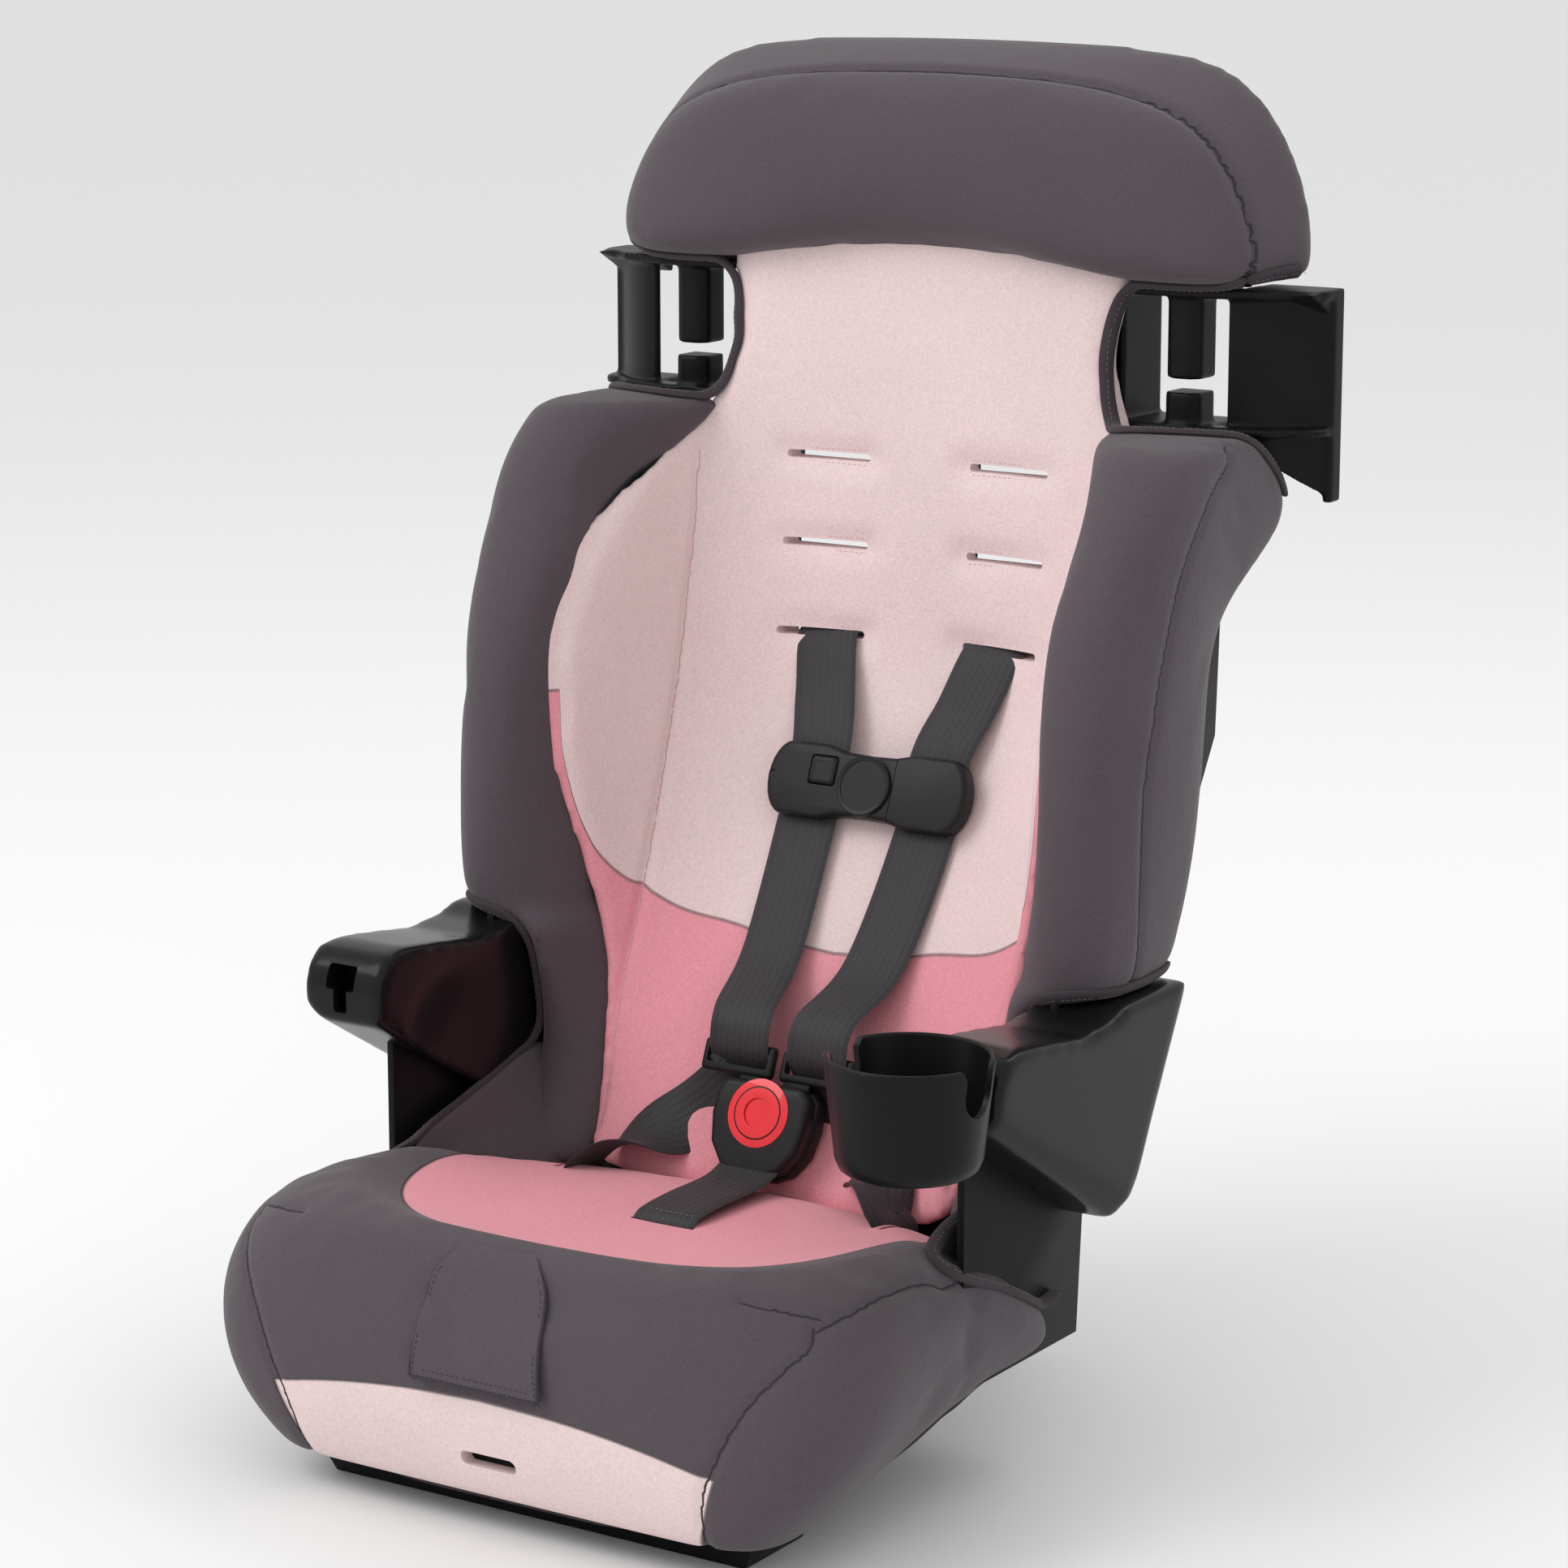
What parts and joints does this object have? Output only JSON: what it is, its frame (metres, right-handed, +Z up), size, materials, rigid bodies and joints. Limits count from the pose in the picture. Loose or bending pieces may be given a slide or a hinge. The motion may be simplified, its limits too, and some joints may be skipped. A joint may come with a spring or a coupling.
{
  "type": "booster seat",
  "caption": "Harness booster seat: high-back shell with padded cover, side bolsters, belt guides, armrests, cup holder and a five-point harness.",
  "frame": {"origin": "on the floor under the seat, on its centre plane, at the middle of the flat sole", "axes": "+Z up, the sitter faces -Y, +X is the side with the cup holder"},
  "size_m": [0.466, 0.4723, 0.732],
  "materials": {
    "shell_plastic": "fine-grained black",
    "arm_plastic": "satin black",
    "cup_plastic": "satin black",
    "buckle_plastic": "matte black",
    "red_plastic": "glossy red",
    "charcoal_fabric": "brushed knit, dark grey",
    "light_pink_fabric": "brushed knit, pale pink",
    "pink_fabric": "brushed knit, pink",
    "webbing": "ribbed black webbing",
    "steel": "zinc plated"
  },
  "bodies": {
    "seat": {"adjuster_body": "steel", "adjuster_pin": "steel", "adjuster_spring": "steel", "adjuster_strap": "webbing", "anchor_screws": "steel", "back_pad": "light_pink_fabric", "buckle_back": "buckle_plastic", "buckle_front": "buckle_plastic", "button_spring": "steel", "clip_left": "buckle_plastic", "crotch_anchor": "steel", "crotch_strap": "webbing", "front_cover": "charcoal_fabric", "head_pad": "charcoal_fabric", "left_arm": "arm_plastic", "left_belt_guide": "shell_plastic", "left_bolster": "charcoal_fabric", "left_harness_strap": "webbing", "left_hip_anchor": "steel", "right_arm": "arm_plastic", "right_belt_guide": "shell_plastic", "right_bolster": "charcoal_fabric", "right_harness_strap": "webbing", "right_hip_anchor": "steel", "seat_cushion": "pink_fabric", "seat_shell": "shell_plastic", "slit_bar": "shell_plastic", "strap_splitter": "steel"},
    "cup": {"cup_holder": "cup_plastic"},
    "release_button": {"buckle_button": "red_plastic"},
    "tongue_left": {"left_tongue": "buckle_plastic"},
    "tongue_right": {"right_tongue": "buckle_plastic"},
    "clip_half_right": {"clip_right": "buckle_plastic"},
    "clip_release": {"clip_button": "buckle_plastic"},
    "lever": {"adjuster_lever": "steel"},
    "flap": {"adjuster_flap": "charcoal_fabric"}
  },
  "joints": [
    {"name": "cup_lift", "type": "slide", "parent": "seat", "child": "cup", "axis": [0, 0, 1], "range_m": [0, 0.013]},
    {"name": "buckle_press", "type": "slide", "parent": "seat", "child": "release_button", "axis": [0, 0.9272, -0.3746], "range_m": [0, 0.003], "stiffness_N_per_m": 3000, "deforming": ["button_spring"]},
    {"name": "left_tongue_out", "type": "slide", "parent": "seat", "child": "tongue_left", "axis": [0, 0.3746, 0.9272], "range_m": [0, 0.022], "deforming": ["left_harness_strap"]},
    {"name": "right_tongue_out", "type": "slide", "parent": "seat", "child": "tongue_right", "axis": [0, 0.3746, 0.9272], "range_m": [0, 0.022], "deforming": ["right_harness_strap"]},
    {"name": "clip_open", "type": "slide", "parent": "seat", "child": "clip_half_right", "axis": [1, 0, 0], "range_m": [0, 0.024]},
    {"name": "clip_press", "type": "slide", "parent": "seat", "child": "clip_release", "axis": [0, 0.9272, -0.3746], "range_m": [0, 0.0018], "stiffness_N_per_m": 1500},
    {"name": "lever_press", "type": "hinge", "parent": "seat", "child": "lever", "pos_m": [0, -0.237, 0.122], "axis": [1, 0, 0], "range_deg": [0, 10], "stiffness_Nm_per_rad": 0.5, "deforming": ["adjuster_spring"]},
    {"name": "flap_lift", "type": "hinge", "parent": "seat", "child": "flap", "pos_m": [0, -0.2545, 0.148], "axis": [-1, 0, 0], "range_deg": [0, 100]}
  ]
}
